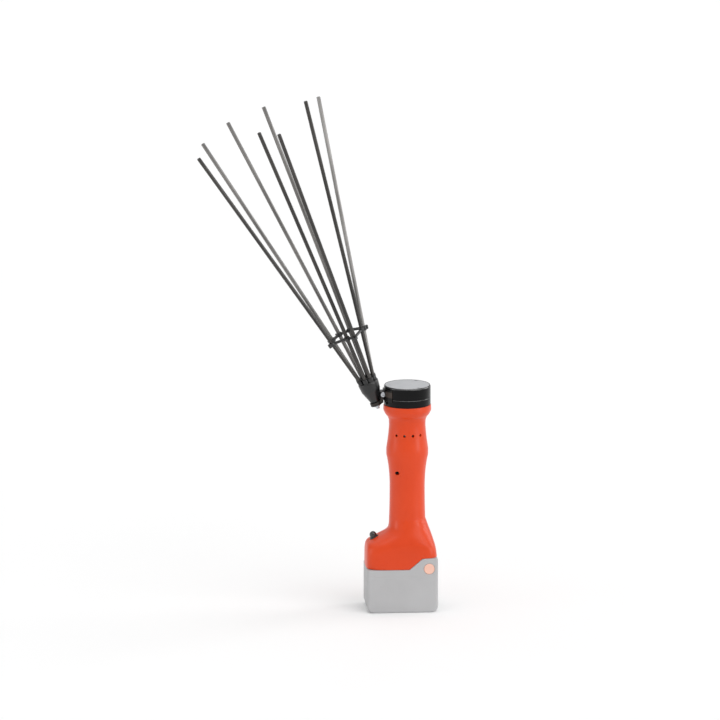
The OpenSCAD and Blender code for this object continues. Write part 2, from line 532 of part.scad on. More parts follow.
housing_front();
housing_rear();
housing_screws();
motor_can();
motor_end_bell();
motor_magnets();
motor_brushes();
rotor_shaft();
armature_core();
armature_windings();
commutator();
sun_pinion();
motor_screws();
gearbox_base();
ring_gear();
planet_gear_1();
planet_gear_2();
planet_gear_3();
planet_carrier();
planet_pins();
crank_roller();
crank_case();
slot_plate();
head_lid();
lid_screws();
case_screws();
rocker_pivot();
rocker_lever();
arm_bracket();
arm_bolt();
arm_nuts();
rod_holder();
holder_bolt();
rod_1();
rod_2();
rod_3();
rod_4();
rod_5();
rod_6();
rod_7();
rod_8();
rod_spacer();
power_button();
button_bezel();
button_spring();
switch_body();
control_board();
terminal_block();
terminal_blades();
inner_leads();
battery_case();
battery_top();
battery_cells();
battery_board();
battery_contacts();
battery_screws();
release_button_front();
release_button_rear();
release_springs();
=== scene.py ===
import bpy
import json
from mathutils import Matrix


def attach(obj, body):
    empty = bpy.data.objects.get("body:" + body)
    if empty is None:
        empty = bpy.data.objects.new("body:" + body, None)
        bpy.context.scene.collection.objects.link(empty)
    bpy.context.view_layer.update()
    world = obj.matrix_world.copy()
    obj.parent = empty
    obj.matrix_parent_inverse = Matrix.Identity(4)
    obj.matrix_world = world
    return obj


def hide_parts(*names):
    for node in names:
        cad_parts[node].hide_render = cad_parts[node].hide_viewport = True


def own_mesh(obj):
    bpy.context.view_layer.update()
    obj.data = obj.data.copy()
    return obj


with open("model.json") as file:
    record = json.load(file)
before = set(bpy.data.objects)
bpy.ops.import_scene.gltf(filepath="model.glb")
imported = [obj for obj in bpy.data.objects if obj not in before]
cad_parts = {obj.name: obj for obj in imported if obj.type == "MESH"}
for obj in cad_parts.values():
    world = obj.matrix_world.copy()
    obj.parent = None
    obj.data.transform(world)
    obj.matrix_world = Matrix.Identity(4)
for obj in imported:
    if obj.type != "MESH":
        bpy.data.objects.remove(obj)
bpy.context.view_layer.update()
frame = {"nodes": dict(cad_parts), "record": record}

import json
import math

import bmesh
import bpy
from mathutils import Matrix, Vector

NODES = frame["nodes"]
SCENE = bpy.context.scene
MM = 0.001

# ------------------------------------------------------------------ helpers


def pchip(table, col=1):
    """A smooth curve through a table of (height, value) that never overshoots."""
    xs = [r[0] for r in table]
    ys = [r[col] for r in table]
    n = len(xs)
    h = [xs[i + 1] - xs[i] for i in range(n - 1)]
    d = [(ys[i + 1] - ys[i]) / h[i] for i in range(n - 1)]
    m = [0.0] * n
    m[0], m[-1] = d[0], d[-1]
    for i in range(1, n - 1):
        if d[i - 1] * d[i] > 0:
            w1, w2 = 2 * h[i] + h[i - 1], h[i] + 2 * h[i - 1]
            m[i] = (w1 + w2) / (w1 / d[i - 1] + w2 / d[i])

    def at(x):
        x = min(max(x, xs[0]), xs[-1])
        i = 0
        while i < n - 2 and x > xs[i + 1]:
            i += 1
        t = (x - xs[i]) / h[i]
        a, b = 2 * t ** 3 - 3 * t ** 2 + 1, t ** 3 - 2 * t ** 2 + t
        c, e = -2 * t ** 3 + 3 * t ** 2, t ** 3 - t ** 2
        return a * ys[i] + b * h[i] * m[i] + c * ys[i + 1] + e * h[i] * m[i + 1]

    return at


def new_object(name, bm, crease=35.0):
    """bm, in millimetres, as an object in metres, smooth but for its hard edges."""
    bmesh.ops.remove_doubles(bm, verts=bm.verts, dist=1e-4)
    bmesh.ops.recalc_face_normals(bm, faces=bm.faces)
    me = bpy.data.meshes.new(name)
    bm.to_mesh(me)
    bm.free()
    me.transform(Matrix.Scale(MM, 4))
    ob = bpy.data.objects.new(name, me)
    SCENE.collection.objects.link(ob)
    shade(ob, crease)
    return ob


def shade(ob, crease=35.0):
    me = ob.data
    me.polygons.foreach_set("use_smooth", [True] * len(me.polygons))
    me.set_sharp_from_angle(angle=math.radians(crease))
    me.update()


def freeze(ob, crease=35.0):
    """The object with its modifiers made permanent."""
    bpy.context.view_layer.update()
    dg = bpy.context.evaluated_depsgraph_get()
    me = bpy.data.meshes.new_from_object(ob.evaluated_get(dg))
    old = ob.data
    ob.modifiers.clear()
    ob.data = me
    bpy.data.meshes.remove(old)
    bm = bmesh.new()
    bm.from_mesh(me)
    bmesh.ops.remove_doubles(bm, verts=bm.verts, dist=2e-7)
    bmesh.ops.dissolve_degenerate(bm, edges=bm.edges, dist=2e-7)
    bm.to_mesh(me)
    bm.free()
    shade(ob, crease)
    return ob


def carve(ob, tool, how="DIFFERENCE", crease=35.0):
    m = ob.modifiers.new("carve", "BOOLEAN")
    m.operation = how
    m.solver = "EXACT"
    m.object = tool
    freeze(ob, crease)
    bpy.data.objects.remove(tool, do_unlink=True)
    return ob


def rounded(ob, width, crease=35.0, segments=3, angle=35.0):
    m = ob.modifiers.new("round", "BEVEL")
    m.width = width * MM
    m.segments = segments
    m.limit_method = "ANGLE"
    m.angle_limit = math.radians(angle)
    m.harden_normals = False
    return freeze(ob, crease)


def ring_loft(bm, rings, cap=True, closed=True):
    """Faces between rings of points; every ring has the same number of points."""
    vs = [[bm.verts.new(p) for p in r] for r in rings]
    n = len(vs[0])
    for a, b in zip(vs, vs[1:]):
        for i in range(n if closed else n - 1):
            j = (i + 1) % n
            bm.faces.new((a[i], a[j], b[j], b[i]))
    if cap:
        bm.faces.new(list(reversed(vs[0])))
        bm.faces.new(vs[-1])
    return vs


def turned(bm, profile, seg=96, at=Matrix.Identity(4), close=False):
    """A turned piece: profile is (radius, height) pairs; radius 0 ends on the axis."""
    rows = []
    for r, z in profile:
        if r <= 1e-6:
            rows.append([bm.verts.new(at @ Vector((0, 0, z)))])
        else:
            rows.append([bm.verts.new(at @ Vector((r * math.cos(2 * math.pi * i / seg), r * math.sin(2 * math.pi * i / seg), z))) for i in range(seg)])
    pairs = list(zip(rows, rows[1:]))
    if close:
        pairs.append((rows[-1], rows[0]))
    for a, b in pairs:
        for i in range(seg):
            j = (i + 1) % seg
            if len(a) == 1 and len(b) == 1:
                continue
            if len(a) == 1:
                bm.faces.new((a[0], b[j], b[i]))
            elif len(b) == 1:
                bm.faces.new((a[i], a[j], b[0]))
            else:
                bm.faces.new((a[i], a[j], b[j], b[i]))


def soft_profile(points, radius, steps=4):
    """A profile with its inner corners rounded off to about that radius."""
    out = [points[0]]
    for a, b, c in zip(points, points[1:], points[2:]):
        va = Vector((a[0] - b[0], a[1] - b[1]))
        vc = Vector((c[0] - b[0], c[1] - b[1]))
        cut = min(radius, va.length * 0.45, vc.length * 0.45)
        p, q, m = Vector(b) + va.normalized() * cut, Vector(b) + vc.normalized() * cut, Vector(b)
        for k in range(steps + 1):
            t = k / steps
            v = p * (1 - t) ** 2 + m * 2 * t * (1 - t) + q * t ** 2
            out.append((v.x, v.y))
    out.append(points[-1])
    return out


def rod_matrix(base, direction):
    """The frame whose z runs along direction from base."""
    q = Vector((0, 0, 1)).rotation_difference(Vector(direction).normalized())
    return Matrix.Translation(Vector(base)) @ q.to_matrix().to_4x4()


def cyl(bm, r, z0, z1, at=Matrix.Identity(4), seg=48, chamfer=0.0):
    if chamfer:
        turned(bm, [(0, z0), (r - chamfer, z0), (r, z0 + chamfer), (r, z1 - chamfer), (r - chamfer, z1), (0, z1)], seg, at)
    else:
        turned(bm, [(0, z0), (r, z0), (r, z1), (0, z1)], seg, at)


def prism(bm, outline, lo, hi, axes="xy"):
    """An outline drawn out along the third axis."""
    def put(p, h):
        return {"xy": (p[0], p[1], h), "xz": (p[0], h, p[1]), "yz": (h, p[0], p[1])}[axes]
    ring_loft(bm, [[put(p, lo) for p in outline], [put(p, hi) for p in outline]])


def block(bm, x0, x1, y0, y1, z0, z1):
    prism(bm, [(x0, y0), (x1, y0), (x1, y1), (x0, y1)], z0, z1)


def finish_piece(ob, body, slot_name, *nodes):
    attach(ob, body)
    if nodes:
        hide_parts(*nodes)
    ob.data.materials.clear()
    ob.data.materials.append(MATS[slot_name])
    return ob


# ---------------------------------------------------------------- materials


def lin(r, g, b):
    def f(c):
        c /= 255.0
        return c / 12.92 if c <= 0.04045 else ((c + 0.055) / 1.055) ** 2.4
    return (f(r), f(g), f(b), 1.0)


def material(name, low, high, rough=(0.4, 0.5), metal=0.0, grain=900.0, grain_depth=0.0002, cloud=25.0, worn=None, worn_at=0.56, coat=0.0, streak=None, spec=0.5, band=None):
    """A finish with mottled colour, uneven gloss, a fine surface grain and, if asked, rubbed edges.
    streak=(axis scale) stretches the mottling into drawn or brushed lines.
    band=(height, half width, colour) is a strip rubbed by a moving part."""
    mt = bpy.data.materials.new(name)
    mt.use_nodes = True
    nt = mt.node_tree
    nt.nodes.clear()
    out = nt.nodes.new("ShaderNodeOutputMaterial")
    sh = nt.nodes.new("ShaderNodeBsdfPrincipled")
    nt.links.new(sh.outputs["BSDF"], out.inputs["Surface"])
    sh.inputs["Metallic"].default_value = metal
    sh.inputs["Specular IOR Level"].default_value = spec
    if coat:
        sh.inputs["Coat Weight"].default_value = coat
        sh.inputs["Coat Roughness"].default_value = 0.12
    co = nt.nodes.new("ShaderNodeTexCoord")
    src = co.outputs["Object"]
    if streak:
        mp = nt.nodes.new("ShaderNodeMapping")
        mp.inputs["Scale"].default_value = streak
        nt.links.new(src, mp.inputs["Vector"])
        src = mp.outputs["Vector"]
    big = nt.nodes.new("ShaderNodeTexNoise")
    big.inputs["Scale"].default_value = cloud
    big.inputs["Detail"].default_value = 6.0
    big.inputs["Roughness"].default_value = 0.62
    nt.links.new(src, big.inputs["Vector"])
    ramp = nt.nodes.new("ShaderNodeValToRGB")
    ramp.color_ramp.elements[0].position = 0.32
    ramp.color_ramp.elements[0].color = low
    ramp.color_ramp.elements[1].position = 0.68
    ramp.color_ramp.elements[1].color = high
    nt.links.new(big.outputs["Fac"], ramp.inputs["Fac"])
    colour = ramp.outputs["Color"]
    if worn:
        geo = nt.nodes.new("ShaderNodeNewGeometry")
        edge = nt.nodes.new("ShaderNodeMapRange")
        edge.inputs["From Min"].default_value = worn_at
        edge.inputs["From Max"].default_value = worn_at + 0.12
        nt.links.new(geo.outputs["Pointiness"], edge.inputs["Value"])
        patch = nt.nodes.new("ShaderNodeTexNoise")
        patch.inputs["Scale"].default_value = 160.0
        patch.inputs["Detail"].default_value = 4.0
        nt.links.new(co.outputs["Object"], patch.inputs["Vector"])
        both = nt.nodes.new("ShaderNodeMath")
        both.operation = "MULTIPLY"
        nt.links.new(edge.outputs["Result"], both.inputs[0])
        nt.links.new(patch.outputs["Fac"], both.inputs[1])
        mix = nt.nodes.new("ShaderNodeMix")
        mix.data_type = "RGBA"
        mix.inputs["B"].default_value = worn
        nt.links.new(both.outputs["Value"], mix.inputs["Factor"])
        nt.links.new(colour, mix.inputs["A"])
        colour = mix.outputs["Result"]
    if band:
        part = nt.nodes.new("ShaderNodeSeparateXYZ")
        nt.links.new(co.outputs["Object"], part.inputs["Vector"])
        off = nt.nodes.new("ShaderNodeMath")
        off.operation = "SUBTRACT"
        off.inputs[1].default_value = band[0]
        nt.links.new(part.outputs["Z"], off.inputs[0])
        far = nt.nodes.new("ShaderNodeMath")
        far.operation = "ABSOLUTE"
        nt.links.new(off.outputs["Value"], far.inputs[0])
        fade = nt.nodes.new("ShaderNodeMapRange")
        fade.inputs["From Min"].default_value = band[1]
        fade.inputs["From Max"].default_value = band[1] + 0.0015
        fade.inputs["To Min"].default_value = 1.0
        fade.inputs["To Max"].default_value = 0.0
        nt.links.new(far.outputs["Value"], fade.inputs["Value"])
        tint = nt.nodes.new("ShaderNodeMix")
        tint.data_type = "RGBA"
        tint.inputs["B"].default_value = band[2]
        nt.links.new(fade.outputs["Result"], tint.inputs["Factor"])
        nt.links.new(colour, tint.inputs["A"])
        colour = tint.outputs["Result"]
    nt.links.new(colour, sh.inputs["Base Color"])
    fine = nt.nodes.new("ShaderNodeTexNoise")
    fine.inputs["Scale"].default_value = grain
    fine.inputs["Detail"].default_value = 3.0
    nt.links.new(src, fine.inputs["Vector"])
    rr = nt.nodes.new("ShaderNodeMapRange")
    rr.inputs["From Min"].default_value = 0.25
    rr.inputs["From Max"].default_value = 0.75
    rr.inputs["To Min"].default_value = rough[0]
    rr.inputs["To Max"].default_value = rough[1]
    nt.links.new(big.outputs["Fac"], rr.inputs["Value"])
    nt.links.new(rr.outputs["Result"], sh.inputs["Roughness"])
    bump = nt.nodes.new("ShaderNodeBump")
    bump.inputs["Strength"].default_value = 0.35
    bump.inputs["Distance"].default_value = grain_depth
    nt.links.new(fine.outputs["Fac"], bump.inputs["Height"])
    nt.links.new(bump.outputs["Normal"], sh.inputs["Normal"])
    return mt


MATS = {
    "orange_shell": material("orange_shell", lin(216, 62, 6), lin(223, 68, 12), (0.30, 0.38), grain=1500, grain_depth=0.00012, cloud=14, worn=lin(236, 112, 72), spec=0.36),
    # the black head's pale edge colour is part edge wear, part painted highlight on its rounded edges
    "black_head": material("black_head", lin(5, 5, 6), lin(9, 9, 10), (0.14, 0.24), grain=1200, grain_depth=0.00005, cloud=20, worn=lin(120, 120, 122), spec=0.16),
    # the head's edge faces get a lighter, glossier black: a painted highlight line
    "black_head_highlight_rim": material("black_head_highlight_rim", lin(10, 10, 11), lin(44, 44, 46), (0.2, 0.3), grain=1200, grain_depth=0.00005, cloud=140, spec=1.0),
    "grey_lid": material("grey_lid", lin(178, 180, 183), lin(190, 191, 194), (0.40, 0.52), grain=1800, grain_depth=0.0001, cloud=30, worn=lin(225, 226, 228)),
    "brown_plate": material("brown_plate", lin(32, 26, 23), lin(50, 42, 37), (0.34, 0.5), metal=0.35, grain=1400, grain_depth=0.0001, cloud=90, worn=lin(150, 120, 100)),
    "slot_plate_coat": material("slot_plate_coat", lin(9, 8, 8), lin(20, 18, 17), (0.3, 0.42), grain=1400, grain_depth=0.0001, cloud=90, worn=lin(110, 96, 86), spec=0.2, band=(0.3325, 0.0035, lin(66, 57, 51))),
    "bright_steel": material("bright_steel", lin(172, 174, 178), lin(200, 202, 206), (0.22, 0.36), metal=0.9, grain=1600, grain_depth=0.00008, cloud=60, worn=lin(230, 231, 233)),
    "gear_steel": material("gear_steel", lin(120, 122, 126), lin(150, 152, 156), (0.3, 0.44), metal=0.9, grain=1500, grain_depth=0.0001, cloud=70, worn=lin(196, 197, 200)),
    "motor_steel": material("motor_steel", lin(140, 141, 143), lin(164, 165, 168), (0.32, 0.46), metal=0.85, grain=1300, grain_depth=0.0001, cloud=40, worn=lin(205, 206, 208)),
    "magnet": material("magnet", lin(48, 48, 52), lin(64, 64, 68), (0.55, 0.7), metal=0.2, grain=1100, grain_depth=0.0002, cloud=80),
    "carbon_brush": material("carbon_brush", lin(30, 30, 32), lin(44, 44, 46), (0.6, 0.75), grain=1400, grain_depth=0.0002, cloud=120),
    "core_steel": material("core_steel", lin(96, 96, 100), lin(120, 120, 124), (0.4, 0.55), metal=0.8, grain=900, grain_depth=0.0002, cloud=90),
    "copper": material("copper", lin(176, 96, 52), lin(204, 122, 72), (0.26, 0.4), metal=0.95, grain=1300, grain_depth=0.0001, cloud=90),
    "contact_metal": material("contact_metal", lin(190, 164, 96), lin(212, 188, 122), (0.24, 0.36), metal=0.95, grain=1400, grain_depth=0.0001, cloud=80),
    "inner_plastic": material("inner_plastic", lin(44, 45, 48), lin(56, 57, 60), (0.5, 0.62), grain=1300, grain_depth=0.00015, cloud=40),
    "green_board": material("green_board", lin(20, 84, 48), lin(30, 104, 60), (0.3, 0.42), grain=1000, grain_depth=0.0001, cloud=120),
    "lead_sheath": material("lead_sheath", lin(150, 24, 22), lin(176, 34, 30), (0.36, 0.5), grain=1300, grain_depth=0.0001, cloud=60),
    "holder_black": material("holder_black", lin(9, 9, 10), lin(17, 17, 19), (0.26, 0.38), grain=1500, grain_depth=0.00012, cloud=40, worn=lin(92, 92, 94), spec=0.58),
    # carbon rods: the lengthwise light and dark streaks are part fibre tone, part painted highlight; the two paler
    # copies paint sheen and a highlight onto the rods behind the front four
    "rod_carbon": material("rod_carbon", lin(12, 11, 11), lin(70, 66, 62), (0.2, 0.34), grain=2200, grain_depth=0.00006, cloud=260, streak=(1.0, 1.0, 0.035)),
    "rod_carbon_pale": material("rod_carbon_pale", lin(30, 29, 28), lin(146, 142, 138), (0.2, 0.34), grain=2200, grain_depth=0.00006, cloud=260, streak=(1.0, 1.0, 0.035), spec=1.0),
    "rod_carbon_light": material("rod_carbon_light", lin(66, 65, 64), lin(192, 189, 186), (0.2, 0.34), grain=2200, grain_depth=0.00006, cloud=260, streak=(1.0, 1.0, 0.035), spec=0.9),
    "spacer_black": material("spacer_black", lin(14, 14, 15), lin(23, 23, 24), (0.24, 0.38), grain=1500, grain_depth=0.00012, cloud=50, worn=lin(88, 88, 90), spec=0.7),
    "button_black": material("button_black", lin(13, 13, 14), lin(22, 22, 23), (0.16, 0.26), grain=1700, grain_depth=0.00012, cloud=60, worn=lin(80, 80, 82), spec=0.8),
    "battery_grey": material("battery_grey", lin(179, 179, 180), lin(186, 186, 187), (0.5, 0.62), grain=1500, grain_depth=0.00015, cloud=16, worn=lin(206, 206, 207), spec=0.3),
    "release_pale": material("release_pale", lin(240, 190, 170), lin(246, 199, 181), (0.45, 0.56), grain=1500, grain_depth=0.00012, cloud=40, worn=lin(238, 214, 206), spec=0.35),
    "cell_wrap": material("cell_wrap", lin(36, 84, 140), lin(48, 98, 156), (0.3, 0.42), grain=1200, grain_depth=0.00008, cloud=40),
    "black_screw": material("black_screw", lin(20, 20, 21), lin(34, 34, 35), (0.35, 0.5), metal=0.6, grain=1500, grain_depth=0.00008, cloud=120, worn=lin(70, 70, 72)),
    "dark_steel": material("dark_steel", lin(50, 49, 48), lin(74, 72, 70), (0.34, 0.48), metal=0.7, grain=1500, grain_depth=0.0001, cloud=70, worn=lin(150, 150, 152)),
    "spring_steel": material("spring_steel", lin(150, 152, 156), lin(184, 186, 190), (0.24, 0.36), metal=0.95, grain=1600, grain_depth=0.00006, cloud=120),
}

SLOT_OF = {s["node"]: s["material_slot"] for s in frame["record"]["subparts"]}
for name, ob in NODES.items():
    ob.data.materials.clear()
    ob.data.materials.append(MATS[{"housing_screws": "black_screw", "battery_screws": "black_screw", "rocker_lever": "dark_steel"}.get(name, SLOT_OF[name])])
# the lever's end is seen beside the head: its cut edges are broken
ease = NODES["rocker_lever"].modifiers.new("broken_edges", "BEVEL")
ease.width = 0.5 * MM
ease.segments = 3
ease.limit_method = "ANGLE"
ease.angle_limit = math.radians(40)

# ------------------------------------------------------- the orange housing

GRIP = [[150, 26.9], [170, 26.5], [190, 26.4], [203, 26.8], [218, 28.1], [225, 29.1], [232, 30.3], [239, 31.5], [245, 31.5], [252, 30.7], [264, 29], [274, 28], [282, 27.4], [289, 27.6], [295, 29.4], [301, 33.8], [307, 36], [314, 35.6]]
XL = [[66, 63.5], [80, 63.5], [90, 63.3], [97, 62.6], [101.5, 61], [104.5, 58], [107, 54], [109.5, 49.5], [112, 45], [114.5, 40.5], [117, 36], [120, 32.2], [124, 29.2], [128, 28], [134, 27.4], [140, 27.2]]
XR = [[66, 44], [80, 43.8], [90, 42.9], [97, 41.7], [101.5, 40.6], [104.5, 39.6], [107, 38.8], [109.5, 38], [112, 37.2], [114.5, 36.3], [117, 35.4], [120, 34.2], [124, 32.7], [128, 31.2], [134, 29.2], [140, 27.2]]
YD = [[66, 37], [80, 37], [90, 36.9], [97, 36.5], [101.5, 36], [104.5, 35.5], [107, 35], [109.5, 34.4], [112, 33.8], [114.5, 33.1], [117, 32.4], [120, 31.5], [124, 30.4], [128, 29.4], [134, 28.2], [140, 27.2]]
EX = [[66, 5], [90, 5], [97, 4.6], [101.5, 4.2], [107, 3.5], [112, 3], [117, 2.6], [124, 2.25], [134, 2.05], [140, 2], [314, 2]]
left_at, right_at, deep_at, bow_at = pchip(XL + GRIP), pchip(XR + GRIP), pchip(YD + GRIP), pchip(EX)
WALL = 2.6


def housing_point(z, turn, inset=0.0):
    n = bow_at(z)
    c, s = math.cos(turn), math.sin(turn)
    half = (right_at(z) if c > 0 else left_at(z)) - inset
    x = half * math.copysign(abs(c) ** (2 / n), c)
    y = (deep_at(z) - inset) * math.copysign(abs(s) ** (2 / n), s)
    return x, y


def housing_rows():
    rows = [66.3, 66.6, 67.2]
    z = 70.0
    while z < 96:
        rows.append(z)
        z += 3.0
    while z < 142:
        rows.append(z)
        z += 1.1
    while z < 284:
        rows.append(z)
        z += 2.4
    while z < 313.3:
        rows.append(z)
        z += 0.9
    return rows + [313.4, 313.8, 314.0]


def edge_in(z):
    """How far the skin is drawn in at the moulded top and bottom edges."""
    e = 0.0
    if z < 67.2:
        e = 0.7 * (1 - (z - 66.3) / 0.9) ** 2
    if z > 313.3:
        e = 0.5 * ((z - 313.3) / 0.7) ** 2
    return e


def half_shell(name, side):
    """One moulded half: side -1 is the front. The parting edge carries a fine V groove."""
    steps = 92
    bm = bmesh.new()
    rings = []
    for z in housing_rows():
        ring = []
        for k in range(steps + 1):
            t = math.pi * k / steps
            x, y = housing_point(z, t, edge_in(z))
            ring.append((x, side * max(abs(y), 0.0), z))
        # the parting face: a small step in at each end makes the groove
        (xa, _, _), (xb, _, _) = ring[0], ring[-1]
        ring[0] = (xa, side * 0.45, z)
        ring[-1] = (xb, side * 0.45, z)
        ring = [(xa - 0.45, side * 0.02, z)] + ring + [(xb + 0.45, side * 0.02, z)]
        rings.append(ring)
    ring_loft(bm, rings)
    ob = new_object(name, bm, 40)
    # the hollow inside
    bm = bmesh.new()
    rings = []
    z = 79.4
    rows = []
    while z < 318:
        rows.append(z)
        z += 1.6 if z < 150 or z > 285 else 4.0
    for z in rows:
        rings.append([(*housing_point(min(z + (2.4 if z < 108 else 0.0), 314), 2 * math.pi * k / 120, WALL), z) for k in range(120)])
    ring_loft(bm, rings)
    hollow = new_object("hollow", bm)
    bm = bmesh.new()
    prism(bm, [(-1, 60), (60, 60), (60, 86.1), (18.2, 86.1), (-1, 70)], -50, 50, "xz")
    carve(hollow, new_object("floor_over_step", bm))
    carve(ob, hollow)
    # screw posts, inside the grip
    for x, z, post_r in ((-16.7, 212, 4.6), (16.7, 212, 4.6)):
        bm = bmesh.new()
        at = Matrix.Translation((x, 0, z)) @ Matrix.Rotation(math.radians(90 if side < 0 else -90), 4, "X")
        cyl(bm, post_r, 0.02, 22.0, at)
        post = new_object("post", bm)
        bm = bmesh.new()
        cyl(bm, 26.3, 200, 224, seg=120)
        carve(post, new_object("trim", bm), "INTERSECT")
        carve(ob, post, "UNION")
    # the battery's slide-in channel and the stepped end
    bm = bmesh.new()
    prism(bm, [(-24.9, 60), (24.9, 60), (24.9, 70.4), (30.4, 70.4), (30.4, 76.9), (-30.4, 76.9), (-30.4, 70.4), (-24.9, 70.4)], -54, 20, "yz")
    carve(ob, new_object("channel", bm))
    bm = bmesh.new()
    block(bm, -60.5, -53, -14.1, 14.1, 60, 77)
    carve(ob, new_object("terminal_pocket", bm))
    bm = bmesh.new()
    prism(bm, [(0.2, 60), (60, 60), (60, 83.3), (20.3, 83.3), (0.2, 66.3)], -50, 50, "xz")
    carve(ob, new_object("step", bm))
    # holes: vents, screw recesses, head screws, the button's bore
    bm = bmesh.new()
    for a in (-40, -13.333, 13.333, 40):
        at = Matrix.Translation((0, 0, 270)) @ Matrix.Rotation(math.radians(a), 4, "Z") @ Matrix.Rotation(math.radians(90 if side < 0 else -90), 4, "X")
        turned(bm, [(0, 20), (2.0, 20), (2.0, 28.0), (2.55, 28.9), (2.9, 30.5), (2.9, 34), (0, 34)], 40, at)
    for x, z, s in ((-16.7, 212, -1), (16.7, 212, 1), (24, 93, 1), (-26, 88, 1)):
        if s == side:
            at = Matrix.Translation((x, 0, z)) @ Matrix.Rotation(math.radians(90 if side < 0 else -90), 4, "X")
            cyl(bm, 3.0, 12.0, 45, at)
    for t in (25, 115, 245, 335):
        cyl(bm, 1.3, 300, 320, Matrix.Translation((31.3 * math.cos(math.radians(t)), 31.3 * math.sin(math.radians(t)), 0)), 24)
    carve(ob, new_object("holes", bm))
    bm = bmesh.new()
    cyl(bm, 7.0, -9, 20, BUTTON_AT, 64)
    carve(ob, new_object("bore", bm), crease=32)
    return ob


BUTTON_AT = Matrix.Translation((-49.5, 0, 108.6)) @ Matrix.Rotation(math.radians(-23), 4, "Y")

finish_piece(half_shell("housing_front_shell", -1), "housing", "orange_shell", "housing_front")
finish_piece(half_shell("housing_rear_shell", 1), "housing", "orange_shell", "housing_rear")

# ------------------------------------------------------------ the black head


def drilled(ob, holes, crease=30, seg=40):
    """holes: (matrix, [(radius, from, to), ...]) cut one depth step after another."""
    for k in range(max(len(h[1]) for h in holes)):
        bm = bmesh.new()
        for at, steps in holes:
            if k < len(steps):
                r, lo, hi = steps[k]
                cyl(bm, r, lo, hi, at, seg)
        carve(ob, new_object("drill", bm), crease=crease)
    return ob


def at_turn(r, t):
    return Matrix.Translation((r * math.cos(math.radians(t)), r * math.sin(math.radians(t)), 0))


def painted_highlight_edge(ob, z0, z1, r):
    """Lighter, glossier faces on an outer edge between two heights: a painted highlight line."""
    ob.data.materials.append(MATS["black_head_highlight_rim"])
    for f in ob.data.polygons:
        if z0 < f.center.z / MM < z1 and math.hypot(f.center.x, f.center.y) / MM > r:
            f.material_index = 1


CASE_TURN = (25, 115, 245, 335)
LID_AT = [Matrix.Translation((-26, 0, 0)), at_turn(30.5, 60), at_turn(30.5, -60)]

bm = bmesh.new()
outer = soft_profile([(26.6, 306), (26.6, 314), (34.4, 314), (35.2, 314.8), (35.2, 325.0), (34.2, 326), (28.7, 326)], 0.4, 3)
turned(bm, [(21.2, 306)] + outer + [(28.7, 318), (6.2, 318), (6.2, 313.95), (21.2, 313.95)], 180, close=True)
base = new_object("gearbox_base_shell", bm, 30)
drilled(base, [(at_turn(31.3, t), [(2.1, 313, 327)]) for t in CASE_TURN] + [(at_turn(12.5, t), [(1.6, 313, 319), (2.9, 316, 319)]) for t in (45, 225)])
finish_piece(base, "housing", "black_head", "gearbox_base")
# a painted highlight line along the base's upper outer edge, at the seam
painted_highlight_edge(base, 324.9, 325.99, 33.9)

bm = bmesh.new()
outer = soft_profile([(20.5, 326), (34.6, 326), (35.2, 326.6), (35.2, 341.6), (34.6, 343.2), (33.9, 344), (33.5, 344), (33.5, 340.4)], 0.6, 4)
turned(bm, outer + [(27.5, 340.4), (27.5, 330.1), (20.5, 330.1)], 180, close=True)
case = new_object("crank_case_shell", bm, 30)
bm = bmesh.new()
block(bm, -40, -15, -12.3, 12.3, 330.1, 339.9)
carve(case, new_object("slot", bm), crease=30)
bm = bmesh.new()
block(bm, -40, -30.6, -12.3, 12.3, 325.5, 331)
carve(case, new_object("notch", bm), crease=30)
drilled(case, [(Matrix.Translation((-26, 0, 0)), [(2.81, 327, 341)])] + [(m, [(1.51, 333, 342)]) for m in LID_AT[1:]] + [(at_turn(31.3, t), [(2.1, 325, 342), (3.5, 336, 342)]) for t in CASE_TURN])
finish_piece(case, "housing", "black_head", "crank_case")
# a painted highlight line along the case's top outer edge
painted_highlight_edge(case, 342.0, 343.99, 33.6)

bm = bmesh.new()
turned(bm, soft_profile([(0, 340.5), (33.3, 340.5), (33.3, 343.8), (0, 343.8)], 0.5, 4), 180)
lid = new_object("head_lid_disc", bm, 40)
bm = bmesh.new()
for m in LID_AT:
    turned(bm, [(0, 340), (1.6, 340), (1.6, 342.4), (3.05, 343.9), (3.05, 345), (0, 345)], 40, m)
carve(lid, new_object("countersinks", bm), crease=30)
finish_piece(lid, "housing", "grey_lid", "head_lid")

bm = bmesh.new()
rings = []
for k in range(65):
    t = math.radians(134 + 92 * k / 64)
    ring = soft_profile([(35.6, 321.5), (36.2, 321.5), (36.2, 340.0), (35.25, 340.0), (35.25, 321.5), (35.6, 321.5)], 0.25, 3)[:-1]
    rings.append([(r * math.cos(t), r * math.sin(t), z) for r, z in ring])
ring_loft(bm, rings)
plate = new_object("slot_plate_strip", bm, 40)
bm = bmesh.new()
prism(bm, [(-12.6, 345), (-12.6, 327.2), (-12.2, 326.4), (-11.4, 326), (11.4, 326), (12.2, 326.4), (12.6, 327.2), (12.6, 345)], -40, -25, "yz")
carve(plate, new_object("opening", bm), crease=40)
finish_piece(plate, "housing", "brown_plate", "slot_plate")
plate.data.materials[0] = MATS["slot_plate_coat"]

# ------------------------------------------------- the rocking arm and rods

